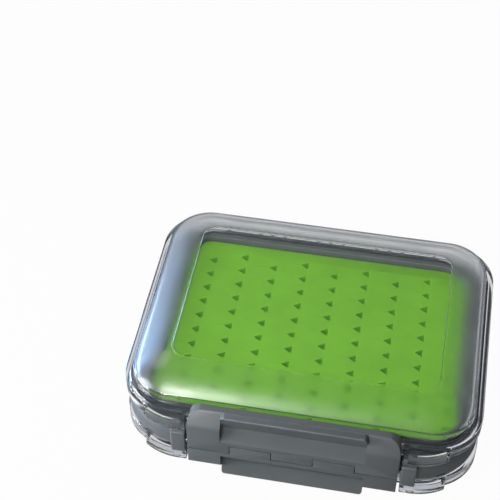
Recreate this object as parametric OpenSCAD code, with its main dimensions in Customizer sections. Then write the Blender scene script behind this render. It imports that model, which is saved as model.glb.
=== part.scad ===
// Double-sided fly box, closed and lying on its lower lid.
// A middle frame carries a slit silicone insert and a gasket on each face. Two clear lids hinge on
// steel pins along the back, and two latch flaps on one common pin close them at the front.
// The part is drawn about the middle of the case, x along it and -y to the latch, and is then
// stood on the lower lid with the origin under its centre.

/* [Case] */
// Length of a lid over its rim
rim_l = 122.2; // [116:0.2:150]
// Width of a lid over its rim, front to back
rim_w = 90.6; // [84:0.2:110]
// Corner radius of the rim, seen from above
rim_r = 15; // [12:0.5:18]
// Height of the sharp edge of the rim above the middle of the case
rim_z = 15.65; // [14.5:0.05:18]
// Thickness of the clear lid
lid_wall = 2; // [1.4:0.1:2.4]

/* [Window] */
// Inset of the window from the rim
window_inset = 13; // [10:0.5:16]
// Corner radius of the window
window_r = 6.5; // [4:0.5:9]
// Rise of the crowned border from the rim to the window
crown_h = 6.5; // [4:0.1:8]
// Step between the border and the polished window
window_step = 0.25; // [0.1:0.05:0.5]
// Width of the line between the border and the window
window_line = 0.3; // [0.1:0.1:0.6]

/* [Lid skirt] */
// Height of the lower edge of the skirt above the middle of the case
skirt_z = 5.7; // [5:0.1:6.5]
// Height of the skirt
skirt_h = 6.2; // [5.5:0.1:7]
// Overhang of the skirt beyond the rim
skirt_out = 2.9; // [2.6:0.1:3.4]
// Thickness of the skirt
skirt_t = 1.6; // [1.2:0.1:1.8]
// Overhang of the two front lugs beyond the rim
lug_out = 6.6; // [6:0.1:7.2]
// Corner radius of the front of the case, which the lugs and the frame follow
front_r = 22.5; // [20:0.5:26]
// Distance of a lug's outer end from the middle of the case
lug_end_x = 54; // [50:0.5:56]
// Diameter of an ejector mark on a lug or a flap
mark_d = 2.8; // [2:0.2:3.4]
// Depth of an ejector mark
mark_depth = 0.15; // [0.1:0.05:0.2]
// Distance of a lug's mark from its latch end
mark_x = 3.9; // [3:0.1:6]
// Distance of a lug's mark from the lug's front
mark_y = 3; // [2:0.1:4]

/* [Frame] */
// Height of the shelf under the skirt above the middle of the case
shelf_z = 5.5; // [4.8:0.1:5.6]
// Height of the sealing wall above the middle of the case
wall_z = 6.9; // [6.4:0.1:7.4]
// Inset of the tray from the rim
tray_inset = 5.5; // [5:0.1:7]
// Thickness of the web between the two trays
web_t = 1.6; // [1:0.1:2]
// Inset of the frame's ridge from the skirt and lugs
ridge_in = 0.6; // [0.3:0.1:1]
// Half height of the upright ridge round the frame's band
ridge_z = 2.5; // [1:0.1:3.5]
// How far the frame's band draws in from its ridge to a shelf
band_in = 1.2; // [0.4:0.1:1.4]
// Width of a moulding slot near the front corners
slot_l = 3; // [2:0.2:4]
// Height of a moulding slot
slot_h = 1; // [0.6:0.1:1.4]
// Depth of a moulding slot
slot_d = 1.4; // [0.6:0.1:2]
// Height of a moulding slot's middle above the middle of the case
slot_z = -2.1; // [-3:0.1:0]

/* [Seal] */
// Inset of the middle of the gasket from the rim
seal_inset = 1.9; // [1.7:0.1:2.1]
// Width of the gasket
gasket_w = 2.2; // [1.8:0.1:2.4]
// Height of the gasket
gasket_h = 1.4; // [1:0.1:1.6]
// How far the gasket lies below the top of the sealing wall
gasket_drop = 0.4; // [0.2:0.1:0.6]
// Thickness of the lid's sealing tongue
tongue_t = 1.4; // [1:0.1:1.6]
// Thickness of the frame's wall outside the gasket
seal_wall = 1; // [0.8:0.1:1.1]

/* [Inserts] */
// Thickness of an insert
insert_t = 3.7; // [3:0.1:4.4]
// Number of columns of slits
columns = 9; // [5:1:9]
// Number of slits in a column
rows = 10; // [5:1:10]
// Distance between columns
column_pitch = 12; // [9:0.1:12]
// Distance between slits of a column
row_pitch = 7.07; // [6:0.01:7.1]
// Length of a notch's base
notch_w = 3.2; // [2:0.1:4]
// Length of a notch from its base to its point
notch_l = 2.8; // [2:0.1:4]
// Depth of a notch
notch_d = 2.5; // [0.6:0.1:2.6]
// Length of the slit that leaves the notch's point
slit_l = 5; // [3:0.2:5.4]
// Width of the slit
slit_w = 0.15; // [0.1:0.05:0.5]
// Depth of the slit
slit_d = 2.7; // [1:0.1:2.8]
// How far the field of slits lies behind the middle of the insert
field_y = -0.5; // [-1:0.1:1]

/* [Hinges] */
// Distance of a hinge axis behind the rim
hinge_out = 5.4; // [5.2:0.1:6]
// Height of a hinge axis above the middle of the case
hinge_z = 4.4; // [4:0.1:4.8]
// Radius of a hinge barrel
barrel_r = 2.5; // [2.2:0.1:2.6]
// Radius of a hinge pin
hinge_pin_r = 1; // [0.8:0.1:1.2]
// Number of frame knuckles on a hinge
knuckles = 4; // [2:1:5]
// Distance between frame knuckles
knuckle_pitch = 23.4; // [15:0.2:24]
// Length of a frame knuckle
knuckle_l = 7.5; // [5:0.5:9]
// Length of a hinge
hinge_l = 86; // [76:1:90]
// How far a hinge pin stays behind each end of its hinge
pin_short = 0.5; // [0.2:0.1:1]
// Thickness of a gusset on the lid's hinge strip
gusset_t = 1.2; // [0.8:0.1:1.6]
// Distance between gussets
gusset_pitch = 5; // [4:0.5:7]
// How far a gusset ends below the top of the skirt
gusset_drop = 0.6; // [0.3:0.1:1.5]

/* [Latch] */
// Length of the latch
latch_l = 74.4; // [70:0.2:80]
// Distance of the latch's front face from the rim
latch_out = 7.9; // [7.6:0.1:8.2]
// Radius of a latch barrel
latch_barrel_r = 2.1; // [2:0.05:2.3]
// Radius of the latch pin
latch_pin_r = 1; // [0.8:0.1:1.1]
// Half height of the flat front of a latch knuckle
knuckle_h = 1.9; // [1.7:0.1:2]
// Part of the latch's length that each inner knuckle takes
knuckle_share = 0.1985; // [0.15:0.0005:0.2]
// Thickness of a flap's plate
plate_t = 2.3; // [2.2:0.1:2.6]
// Height at which the end of a flap's front starts to slope back
flap_slope_z = 10.4; // [9.6:0.1:11]
// Height of a flap's top above the middle of the case
flap_top_z = 15.4; // [15.2:0.1:16]
// Part of its height by which the slope leans back
flap_lean = 0.86; // [0.6:0.02:1]
// Corner radius of a flap's free end
flap_corner_r = 5; // [3:0.5:7]
// How far the hook reaches over the lid's ledge
hook_bite = 1.9; // [1.2:0.1:2.1]
// Gap between the hook and the ledge that it holds
hook_gap = 0.2; // [0.15:0.05:0.3]
// Width of the grip in the middle of a flap
grip_w = 51; // [40:1:56]
// Height at which the grip starts
grip_z = 6.9; // [6:0.1:8]
// Reach of the grip's lip above the flap's top
lip_rise = 0.8; // [0.5:0.1:1.2]
// Corner radius of the lip's ends
lip_r = 1.8; // [0.8:0.1:1.8]
// How far the grip lies behind the flap's front
grip_in = 0.6; // [0.3:0.1:0.9]
// Thickness of the lip at its tip
lip_t = 1.6; // [1.2:0.1:2]
// Radius of the finger scoop under the lip
scoop_r = 3.15; // [2.8:0.05:3.6]
// Depth of the finger scoop
scoop_d = 1.05; // [0.6:0.05:1.2]
// Length of the two pockets behind the hook
pocket_l = 24; // [16:1:26]
// Distance of a pocket's middle from the middle of the flap
pocket_x = 18.5; // [16:0.5:20]
// Height of a pocket
pocket_h = 2.1; // [1.9:0.1:2.3]
// Height of the ledge below the pockets
ledge_h = 1.5; // [0.6:0.1:1.6]
// How far the lid's catch beads stand out from the ledge
bead_out = 1.2; // [0.8:0.1:1.3]
// Length of a catch bead
bead_l = 23; // [15:1:25]
// Height of a catch bead
bead_h = 1.7; // [1.2:0.1:1.8]
// Distance of the inner ejector mark of a flap from the pin
flap_mark_z = 5.5; // [5:0.5:7]

/* [Ears] */
// Width of an ear that carries the latch pin
ear_w = 5.3; // [4:0.1:6]
// Gap between an ear and the latch
ear_gap = 0.9; // [0.5:0.1:1.2]
// Half height of an ear
ear_z = 5.6; // [5:0.1:5.6]
// How far an ear's face lies behind the latch's front
ear_behind = 0.2; // [0:0.1:0.6]
// Wall left in an ear beyond each end of the latch pin
pin_wall = 1; // [0.6:0.1:1.4]
// Depth of the hollow left behind the latch barrel
slot_behind = 1.9; // [1.5:0.1:2.2]

/* [Clearances] */
// Gap beside a moving knuckle
side_gap = 0.15; // [0.1:0.05:0.3]
// Gap round a hinge barrel in its hollow
barrel_gap = 0.25; // [0.2:0.05:0.35]
// Gap between a latch knuckle and the flap that turns round it
relief_gap = 0.22; // [0.2:0.02:0.4]
// Gap round a pin that is held
pin_grip = 0.02; // [0.01:0.01:0.04]
// Gap round a pin that something turns on
pin_play = 0.08; // [0.05:0.01:0.1]
// Gap between the gasket and its groove, and between the tongue and the gasket
seal_gap = 0.1; // [0.05:0.05:0.2]
// Gap round an insert in its tray
insert_gap = 0.2; // [0.1:0.05:0.4]

/* [Hidden] */
$fn = 64;
eps = 0.01;

skirt_top = skirt_z + skirt_h;
crown_z = rim_z + crown_h;
case_half_h = crown_z + window_step;
half_w = rim_w / 2;

hinge_y = half_w + hinge_out;
latch_front = -half_w - latch_out;
pin_y = latch_front + latch_barrel_r;
ear_x = latch_l / 2 + ear_gap;
lug_x = ear_x + side_gap;

// The box that holds everything is centred on the origin, seen from above
case_y = -(latch_front + hinge_y + barrel_r) / 2;

// Crown of the lid: share of the window's inset and share of the rise, from rim to window
CROWN = [[0, 0], [0.03, 0.06], [0.09, 0.15], [0.2, 0.34], [0.36, 0.56], [0.55, 0.76], [0.77, 0.92], [1, 1]];

// Overlap by which solids of one piece run into each other
joint_lap = 1;
// Reach of a hinge barrel's surface along each axis, at half a right angle
barrel_reach = barrel_r * sqrt(0.5);

// Moulding slots, near the outer ends of the lugs, on the ridge of the band
slot_x = lug_end_x - slot_l * 2 / 3;
slot_y = front_r - half_w - lug_out
    - sqrt(pow(front_r - ridge_in, 2) - pow(slot_x - (rim_l / 2 + skirt_out - front_r), 2));

groove_w = gasket_w + 2 * seal_gap;
gasket_top = wall_z - gasket_drop;
gasket_z = gasket_top - gasket_h;

relief_r = sqrt(pow(latch_barrel_r, 2) + pow(knuckle_h, 2)) + relief_gap;
inner_knuckle_l = latch_l * knuckle_share;
hook_z = skirt_top + hook_gap;
hook_back = -half_w - skirt_out + hook_bite - pin_y;
plate_back = plate_t - latch_barrel_r;
pocket_z = hook_z - pocket_h;
ridge_back = latch_barrel_r;
ledge_z = pocket_z - ledge_h;
lip_front = grip_in - latch_barrel_r;
lip_z = flap_slope_z + grip_in / flap_lean;

clear = [0.86, 0.9, 0.92, 0.35];
grey = [0.42, 0.43, 0.44];
green = [0.43, 0.7, 0.23];
seal_dark = [0.2, 0.21, 0.22];
steel = [0.75, 0.76, 0.78];

// ---- Helpers ----

// Stands a piece that is drawn about the middle of the case in the part's own frame
module place() translate([0, case_y, case_half_h]) children();

// Rectangle with true round corners, centred
module rounded(l, w, r) {
    square([l - 2 * r, w], center = true);
    square([l, w - 2 * r], center = true);
    for (x = [-1, 1], y = [-1, 1])
        translate([x * (l / 2 - r), y * (w / 2 - r)]) circle(r);
}

// Outline of the rim, moved outward by out
module plan(out) rounded(rim_l + 2 * out, rim_w + 2 * out, rim_r + out);

// Outline of the case below the rim, with the fuller front that carries the lugs, moved in by inset
module front_plan(inset) {
    hx = rim_l / 2 + skirt_out - inset;
    front = -half_w - lug_out + inset;
    r = front_r - inset;
    plan(skirt_out - inset);
    translate([-hx, front + r]) square([2 * hx, half_w - rim_r - front - r]);
    translate([-hx + r, front]) square([2 * (hx - r), r + eps]);
    for (x = [-1, 1]) translate([x * (hx - r), front + r]) circle(r);
}

// Prism between two heights
module slab(z0, z1) translate([0, 0, z0]) linear_extrude(z1 - z0) children();

// Profile drawn in y and z, drawn out along x
module along_x(x0, x1) translate([x0, 0, 0]) rotate([90, 0, 90]) linear_extrude(x1 - x0) children();

// Rod along x
module rod(x0, x1, y, z, r) translate([x0, y, z]) rotate([0, 90, 0]) cylinder(r = r, h = x1 - x0);

// ---- Frame ----

// The outer band: upright along its ridge and drawn in from there towards both shelves
module band() {
    hull() {
        slab(-ridge_z, ridge_z) front_plan(ridge_in);
        for (side = [-1, 1])
            translate([0, 0, side * (shelf_z - eps)]) slab(-eps, eps) front_plan(ridge_in + band_in);
    }
}

module tray() slab(web_t / 2, wall_z + 1) plan(-tray_inset);

module seal_groove() {
    slab(gasket_z, wall_z + 1) difference() {
        plan(groove_w / 2 - seal_inset);
        plan(-groove_w / 2 - seal_inset);
    }
}

// Ear beside the latch, which holds one end of the latch pin
module ear() {
    front = latch_front + ear_behind;
    translate([ear_x, front, -ear_z]) cube([ear_w, -half_w - skirt_out + joint_lap - front, 2 * ear_z]);
}

// Middle of each frame knuckle along a hinge
function knuckle_x(i) = (i - (knuckles - 1) / 2) * knuckle_pitch;

// Length of hinge between two frame knuckles, or beyond the last one
function lid_knuckle(i) = [
    max(-hinge_l / 2, knuckle_x(i - 1) + knuckle_l / 2 + side_gap),
    min(hinge_l / 2, knuckle_x(i) - knuckle_l / 2 - side_gap)];

module frame_knuckles() {
    for (i = [0 : knuckles - 1])
        along_x(knuckle_x(i) - knuckle_l / 2, knuckle_x(i) + knuckle_l / 2) {
            translate([hinge_y, hinge_z]) circle(barrel_r);
            polygon([[hinge_y - barrel_r - joint_lap, 0], [hinge_y - barrel_r * 0.4, 0],
                     [hinge_y + barrel_reach, hinge_z - barrel_reach], [hinge_y, hinge_z],
                     [hinge_y - barrel_r - joint_lap, hinge_z]]);
        }
}

// Hollows in the band in which the lid's knuckles turn
module hinge_hollows() {
    for (i = [0 : knuckles])
        rod(lid_knuckle(i)[0] - side_gap, lid_knuckle(i)[1] + side_gap, hinge_y, hinge_z, barrel_r + barrel_gap);
}

module frame() color(grey) place() difference() {
    union() {
        difference() {
            union() {
                band();
                slab(-wall_z, wall_z) plan(groove_w / 2 - seal_inset + seal_wall);
            }
            for (side = [0, 1]) mirror([0, 0, side]) {
                tray();
                seal_groove();
                hinge_hollows();
            }
            // Room for the latch
            translate([-ear_x, latch_front - 1, -wall_z])
                cube([2 * ear_x, pin_y + latch_barrel_r + slot_behind - latch_front + 1, 2 * wall_z]);
        }
        for (side = [0, 1]) {
            mirror([0, 0, side]) frame_knuckles();
            mirror([side, 0, 0]) ear();
        }
    }
    for (side = [0, 1]) mirror([0, 0, side])
        rod(-hinge_l / 2, hinge_l / 2, hinge_y, hinge_z, hinge_pin_r + pin_grip);
    rod(pin_wall - ear_x - ear_w, ear_x + ear_w - pin_wall, pin_y, 0, latch_pin_r + pin_grip);
    for (side = [-1, 1]) translate([side * slot_x - slot_l / 2, slot_y - slot_d, slot_z - slot_h / 2])
        cube([slot_l, 2 * slot_d, slot_h]);
}

// ---- Inserts ----

// One slit: a notch whose point looks to -x, and the thin slit that leaves it
module notch() polygon([[notch_l / 2, notch_w / 2], [-notch_l / 2, 0], [notch_l / 2, -notch_w / 2]]);

module slit() translate([-notch_l / 2 - slit_l, -slit_w / 2]) square([slit_l + notch_l / 4, slit_w]);

// The field of slits: every other column is set half a pitch towards the back
module field() {
    for (c = [0 : columns - 1], r = [0 : rows - 1])
        translate([(c - (columns - 1) / 2) * column_pitch + (notch_l + slit_l) / 2 - notch_l / 6,
                   field_y + ((rows - 1) / 2 - r + (c % 2 == 0 ? -0.25 : 0.25)) * row_pitch])
            children();
}

module insert() {
    top = web_t / 2 + insert_t;
    difference() {
        slab(web_t / 2, top) plan(-tray_inset - insert_gap);
        slab(top - notch_d, top + 1) field() notch();
        slab(top - slit_d, top + 1) field() slit();
    }
}

module upper_insert() color(green) place() insert();

// The same moulding turned over
module lower_insert() color(green) place() rotate([0, 180, 0]) insert();

// ---- Gaskets ----

module gasket() slab(gasket_z, gasket_top) difference() {
    plan(gasket_w / 2 - seal_inset);
    plan(-gasket_w / 2 - seal_inset);
}

module upper_gasket() color(seal_dark) place() gasket();

module lower_gasket() color(seal_dark) place() mirror([0, 0, 1]) gasket();

// ---- Lids ----

// Solid crown of the lid, moved inward and down by wall, and carried down to z0
module crown(wall, z0) {
    hull() for (p = CROWN) {
        inset = p[0] * window_inset + wall;
        r = rim_r + p[0] * (window_r - rim_r) - wall;
        z = rim_z + p[1] * crown_h - wall;
        t = p[0] == 0 ? z - z0 : eps;
        translate([0, 0, z - t]) linear_extrude(t) rounded(rim_l - 2 * inset, rim_w - 2 * inset, max(r, 1));
    }
}

// Part of the front outline that belongs to the two lugs, moved in by inset
module lug_plan(inset) intersection() {
    front_plan(inset);
    for (side = [0, 1]) mirror([side, 0])
        translate([lug_x + inset, -half_w - lug_out]) square([lug_end_x - lug_x - 2 * inset, half_w / 2]);
}

// Clear knuckles and their gusseted strip, which join the lid to its hinge pin
module lid_knuckles() {
    back = half_w + skirt_out;
    for (i = [0 : knuckles]) {
        x = lid_knuckle(i);
        gussets = floor((x[1] - x[0] - gusset_t) / gusset_pitch);
        first = (x[0] + x[1] - gussets * gusset_pitch) / 2;
        along_x(x[0], x[1]) {
            translate([hinge_y, hinge_z]) circle(barrel_r);
            polygon([[back - skirt_t, skirt_z], [hinge_y, skirt_z], [hinge_y, hinge_z + barrel_r],
                     [back - skirt_t, hinge_z + barrel_r]]);
        }
        for (g = [0 : gussets])
            along_x(first + g * gusset_pitch - gusset_t / 2, first + g * gusset_pitch + gusset_t / 2)
                polygon([[back - eps, skirt_z], [hinge_y + barrel_reach, hinge_z + barrel_reach],
                         [back - eps, skirt_top - gusset_drop]]);
    }
}

module lid() difference() {
    union() {
        difference() {
            union() {
                crown(0, skirt_top - 1);
                slab(crown_z - 1, case_half_h)
                    rounded(rim_l - 2 * window_inset - 2 * window_line, rim_w - 2 * window_inset - 2 * window_line,
                            window_r - window_line);
                slab(skirt_z, skirt_top) plan(skirt_out);
                slab(skirt_z, skirt_top) lug_plan(0);
            }
            crown(lid_wall, skirt_z - 1);
            slab(skirt_z - 1, skirt_top - lid_wall) plan(skirt_out - skirt_t);
            slab(skirt_z - 1, skirt_top - lid_wall) lug_plan(skirt_t);
            // Ejector marks
            for (side = [-1, 1])
                translate([side * (lug_x + mark_x), mark_y - half_w - lug_out, skirt_top - mark_depth])
                    cylinder(d = mark_d, h = 1);
        }
        // Tongue that closes on the gasket
        slab(gasket_top + seal_gap, skirt_top - lid_wall + joint_lap / 2) difference() {
            plan(tongue_t / 2 - seal_inset);
            plan(-tongue_t / 2 - seal_inset);
        }
        // Beads that the latch snaps over
        for (side = [-1, 1])
            translate([side * pocket_x - bead_l / 2, -half_w - skirt_out - bead_out, skirt_top - bead_h])
                cube([bead_l, bead_out + skirt_t / 2, bead_h]);
        lid_knuckles();
    }
    // The frame's knuckles turn in these gaps of the skirt
    for (i = [0 : knuckles - 1])
        rod(knuckle_x(i) - knuckle_l / 2 - side_gap, knuckle_x(i) + knuckle_l / 2 + side_gap,
            hinge_y, hinge_z, barrel_r + barrel_gap);
    rod(-hinge_l / 2 - 1, hinge_l / 2 + 1, hinge_y, hinge_z, hinge_pin_r + pin_play);
}

module upper_lid() color(clear) place() lid();

module lower_lid() color(clear) place() mirror([0, 0, 1]) lid();

// ---- Latch ----

// Section of a flap across its length, about the pin: sloped free end, hook behind
module flap_section() {
    slope = flap_top_z - flap_slope_z;
    polygon([[-latch_barrel_r, 0], [-latch_barrel_r, flap_slope_z],
             [slope * flap_lean - latch_barrel_r, flap_top_z], [hook_back, flap_top_z],
             [hook_back, hook_z], [ridge_back, hook_z],
             [ridge_back, ledge_z], [plate_back, ledge_z - ridge_back + plate_back], [plate_back, 0]]);
}

// Lip that stands out over the finger scoop
module lip_section() {
    difference() {
        polygon([[lip_front, flap_top_z + lip_rise], [lip_front, lip_z], [latch_barrel_r, lip_z],
                 [latch_barrel_r, flap_top_z], [lip_front + lip_t, flap_top_z + lip_rise / 4]]);
        translate([lip_front - scoop_r + scoop_d, flap_top_z - scoop_r / 2]) circle(scoop_r);
    }
}

// Front view of a flap, with its free corners rounded
module flap_front() {
    hx = latch_l / 2;
    translate([-hx, -knuckle_h]) square([latch_l, flap_top_z - flap_corner_r + knuckle_h]);
    translate([-hx + flap_corner_r, 0]) square([latch_l - 2 * flap_corner_r, flap_top_z + eps]);
    for (side = [-1, 1])
        translate([side * (hx - flap_corner_r), flap_top_z - flap_corner_r]) circle(flap_corner_r);
}

// Front view of the lip, with its corners rounded
module lip_front_view() {
    top = flap_top_z + lip_rise;
    translate([-grip_w / 2, 0]) square([grip_w, top - lip_r]);
    translate([lip_r - grip_w / 2, 0]) square([grip_w - 2 * lip_r, top]);
    for (side = [-1, 1]) translate([side * (grip_w / 2 - lip_r), top - lip_r]) circle(lip_r);
}

// A front view drawn out through the whole thickness of a flap
module facing() rotate([90, 0, 0]) linear_extrude(2 * latch_out, center = true) children();

// Boundaries of the five knuckles along the latch; the upper flap owns the even ones
function latch_knuckle(i) = [
    i == 0 ? -latch_l / 2 : (i - 2.5) * inner_knuckle_l + side_gap,
    i == 4 ? latch_l / 2 : (i - 1.5) * inner_knuckle_l - side_gap];

// A flap about the pin, which owns the knuckles of its set
module flap(own, other) difference() {
    union() {
        difference() {
            union() {
                intersection() {
                    along_x(-latch_l / 2, latch_l / 2) flap_section();
                    facing() flap_front();
                }
                intersection() {
                    along_x(-grip_w / 2, grip_w / 2) lip_section();
                    facing() lip_front_view();
                }
            }
            // Thumb recess between the flap's ends
            along_x(-grip_w / 2, grip_w / 2)
                polygon([[-latch_barrel_r, grip_z], [lip_front, lip_z],
                         [-latch_barrel_r - 1, lip_z], [-latch_barrel_r - 1, grip_z]]);
            // Pockets behind the hook, over the lid's beads
            for (side = [-1, 1])
                translate([side * pocket_x - pocket_l / 2, plate_back, pocket_z])
                    cube([pocket_l, latch_out, pocket_h]);
            // Ejector mark inside
            translate([0, plate_back - mark_depth, flap_mark_z])
                rotate([-90, 0, 0]) cylinder(d = mark_d, h = 1);
        }
        for (i = own) along_x(latch_knuckle(i)[0], latch_knuckle(i)[1]) {
            circle(latch_barrel_r);
            translate([-latch_barrel_r, -knuckle_h]) square([latch_barrel_r, knuckle_h]);
            translate([-latch_barrel_r, 0]) square([latch_barrel_r + plate_back, relief_r]);
        }
    }
    // Room for the other flap's knuckles
    for (i = other)
        rod(latch_knuckle(i)[0] - 2 * side_gap, latch_knuckle(i)[1] + 2 * side_gap, 0, 0, relief_r);
    rod(-latch_l, latch_l, 0, 0, latch_pin_r + pin_play);
}

module upper_latch() color(grey) place() translate([0, pin_y, 0]) flap([0, 2, 4], [1, 3]);

module lower_latch() color(grey) place() translate([0, pin_y, 0]) mirror([0, 0, 1]) flap([1, 3], [0, 2, 4]);

// ---- Pins ----

module latch_pin() {
    end = ear_x + ear_w - pin_wall - side_gap;
    color(steel) place() rod(-end, end, pin_y, 0, latch_pin_r);
}

module hinge_pin() rod(pin_short - hinge_l / 2, hinge_l / 2 - pin_short, hinge_y, hinge_z, hinge_pin_r);

module upper_hinge_pin() color(steel) place() hinge_pin();

module lower_hinge_pin() color(steel) place() mirror([0, 0, 1]) hinge_pin();

frame();
upper_insert();
lower_insert();
upper_gasket();
lower_gasket();
upper_lid();
lower_lid();
upper_latch();
lower_latch();
latch_pin();
upper_hinge_pin();
lower_hinge_pin();
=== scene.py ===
"""Dresses a packed double-sided fly box: clear lids, grey frame and latch, green slit inserts."""

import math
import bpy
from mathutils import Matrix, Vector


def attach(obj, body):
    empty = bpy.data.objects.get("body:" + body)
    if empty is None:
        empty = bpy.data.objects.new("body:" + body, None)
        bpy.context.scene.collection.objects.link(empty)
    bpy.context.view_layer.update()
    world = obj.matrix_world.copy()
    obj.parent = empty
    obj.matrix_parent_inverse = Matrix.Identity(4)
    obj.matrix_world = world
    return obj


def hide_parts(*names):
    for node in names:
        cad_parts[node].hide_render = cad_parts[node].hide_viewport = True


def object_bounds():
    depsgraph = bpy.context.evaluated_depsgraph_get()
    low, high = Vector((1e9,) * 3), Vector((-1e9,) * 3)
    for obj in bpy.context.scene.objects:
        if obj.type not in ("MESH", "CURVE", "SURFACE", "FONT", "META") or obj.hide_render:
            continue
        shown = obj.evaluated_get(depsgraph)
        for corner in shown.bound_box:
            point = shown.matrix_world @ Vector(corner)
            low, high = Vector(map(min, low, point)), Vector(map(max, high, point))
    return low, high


bl_info = {
    "name": "Fly Box",
    "version": (1, 0, 0),
    "blender": (4, 5, 0),
    "location": "3D View > Sidebar > Fly Box",
    "description": "Clear lids, grey frame and latch, and green slit inserts round a packed fly box",
    "category": "Object",
}

import bmesh
import bpy
from bpy.props import FloatProperty, FloatVectorProperty, IntProperty, PointerProperty
from bpy.types import Operator, Panel, PropertyGroup
from mathutils import Matrix, Vector

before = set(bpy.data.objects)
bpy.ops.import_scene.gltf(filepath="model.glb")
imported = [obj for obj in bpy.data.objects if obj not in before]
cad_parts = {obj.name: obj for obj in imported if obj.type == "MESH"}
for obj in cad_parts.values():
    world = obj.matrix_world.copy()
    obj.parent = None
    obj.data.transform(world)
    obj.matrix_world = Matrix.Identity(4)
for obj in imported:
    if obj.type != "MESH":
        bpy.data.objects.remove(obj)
cad_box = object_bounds()

MM = 0.001
# The case is drawn about its middle plane, which lies this high in the frame
MIDDLE_Z = (cad_box[0].z + cad_box[1].z) / 2
# Faces that meet at more degrees than this have a sharp edge, which is rounded like this
SHARP = 35
ROUNDED = {"segments": 3, "profile": 0.5, "affect": "EDGES"}
# Rounding of a hinge barrel's ends
BARREL_EDGE = 0.2 * MM
# Edges stay sharp over this many degrees in smooth shading
CREASE = 28
# A noise stays mostly between these values
NOISE_LOW, NOISE_HIGH = 0.3, 0.7
# Roughness of clear plastic changes by this share of itself
CLEAR_CLOUD = 0.15
# Directions of the camera's right and upper side
CAMERA_RIGHT = Vector((0.983330, 0.181800, -0.003406))
CAMERA_UP = Vector((-0.131909, 0.726122, 0.674794))
# Name and place of each lamp, the side of its square, all in metres, and its colour
LAMPS = (("key", (-0.42, -0.17, 0.14), 0.22, (0.88, 0.95, 1)), ("top", (-0.68, 0.20, 0.74), 0.45, (1, 1, 1)),
         ("side", (-0.68, 0.26, 0.17), 0.40, (0.36, 0.60, 1)), ("front", (-0.30, -0.45, 0.80), 0.30, (1, 1, 1)),
         ("gleam", (-0.28, -0.66, 0.62), 0.17, (1, 1, 1)))


# ---- Sizes and colours that a user would change ----


def mm(name, description, default_mm):
    """A length property, whose default is given in millimetres."""
    return FloatProperty(name=name, description=description, default=default_mm * MM, unit="LENGTH", precision=5)


def tint(name, description, default):
    """A colour property, in linear values."""
    return FloatVectorProperty(name=name, description=description, default=default, size=3,
                               subtype="COLOR", min=0, max=1)


def share(name, description, default):
    """A property from nothing to all."""
    return FloatProperty(name=name, description=description, default=default, min=0, max=1, subtype="FACTOR")


def power(name, description, default):
    """A lamp's power."""
    return FloatProperty(name=name, description=description, default=default, min=0, unit="POWER")


class LidSizes(PropertyGroup):
    """Sizes of a clear lid. Heights count from the middle plane of the case, and places from its middle."""

    rim_l: mm("Rim length", "Length of the lid over its rim", 122.2)
    rim_w: mm("Rim width", "Width of the lid over its rim, front to back", 90.6)
    rim_r: mm("Rim corner", "Corner radius of the rim, seen from above", 15)
    rim_z: mm("Rim height", "Height of the edge of the rim", 15.65)
    wall: mm("Wall", "Thickness of the clear plastic", 2)
    window_inset: mm("Window inset", "Inset of the window from the rim", 13)
    window_r: mm("Window corner", "Corner radius of the window", 6.5)
    crown_h: mm("Crown", "Rise of the border from the rim to the window", 6.5)
    window_step: mm("Window step", "Step between border and window", 0.25)
    skirt_z: mm("Skirt height", "Height of the skirt's lower edge", 5.7)
    skirt_h: mm("Skirt", "Height of the skirt", 6.2)
    skirt_out: mm("Skirt overhang", "Overhang of the skirt beyond the rim", 2.9)
    skirt_t: mm("Skirt thickness", "Thickness of the skirt", 1.6)
    lug_out: mm("Lug overhang", "Overhang of the two front lugs beyond the rim", 6.6)
    lug_x: mm("Lug start", "Place of a lug's inner end", 38.25)
    lug_end_x: mm("Lug end", "Place of a lug's outer end", 54)
    front_r: mm("Front corner", "Corner radius of the front of the case", 22.5)
    mark_d: mm("Mark", "Diameter of the ejector mark on a lug", 2.8)
    mark_x: mm("Mark place", "Distance of the mark from the lug's latch end", 3.9)
    mark_y: mm("Mark inset", "Distance of the mark from the lug's front", 3)
    mark_depth: mm("Mark depth", "Depth of the mark", 0.3)
    tongue_in: mm("Tongue inset", "Inset of the tongue's middle from the rim", 1.9)
    tongue_t: mm("Tongue", "Thickness of the tongue", 1.4)
    tongue_z: mm("Tongue height", "Height of the tongue's lower edge", 6.6)
    hinge_y: mm("Hinge place", "Place of a hinge axis", 50.7)
    hinge_z: mm("Hinge height", "Height of a hinge axis", 4.4)
    barrel_r: mm("Barrel", "Radius of a hinge barrel", 2.5)
    barrel_gap: mm("Barrel gap", "Gap round a hinge barrel", 0.25)
    side_gap: mm("Side gap", "Gap beside a hinge knuckle", 0.15)
    pin_bore_r: mm("Pin bore", "Radius of the bore for the hinge pin", 1.08)
    knuckles: IntProperty(name="Frame knuckles", description="Number of frame knuckles on a hinge", default=4)
    knuckle_pitch: mm("Knuckle pitch", "Distance between frame knuckles", 23.4)
    knuckle_l: mm("Knuckle length", "Length of a frame knuckle", 7.5)
    hinge_l: mm("Hinge length", "Length of a hinge", 86)
    gusset_t: mm("Gusset", "Thickness of a gusset on the hinge strip", 1.2)
    gusset_pitch: mm("Gusset pitch", "Distance between gussets", 5)
    bead_x: mm("Bead place", "Place of a catch bead's middle", 18.5)
    bead_l: mm("Bead length", "Length of a catch bead", 23)
    bead_out: mm("Bead", "How far a catch bead stands out from the skirt", 1.2)
    bead_h: mm("Bead height", "Height of a catch bead", 1.7)


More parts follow.
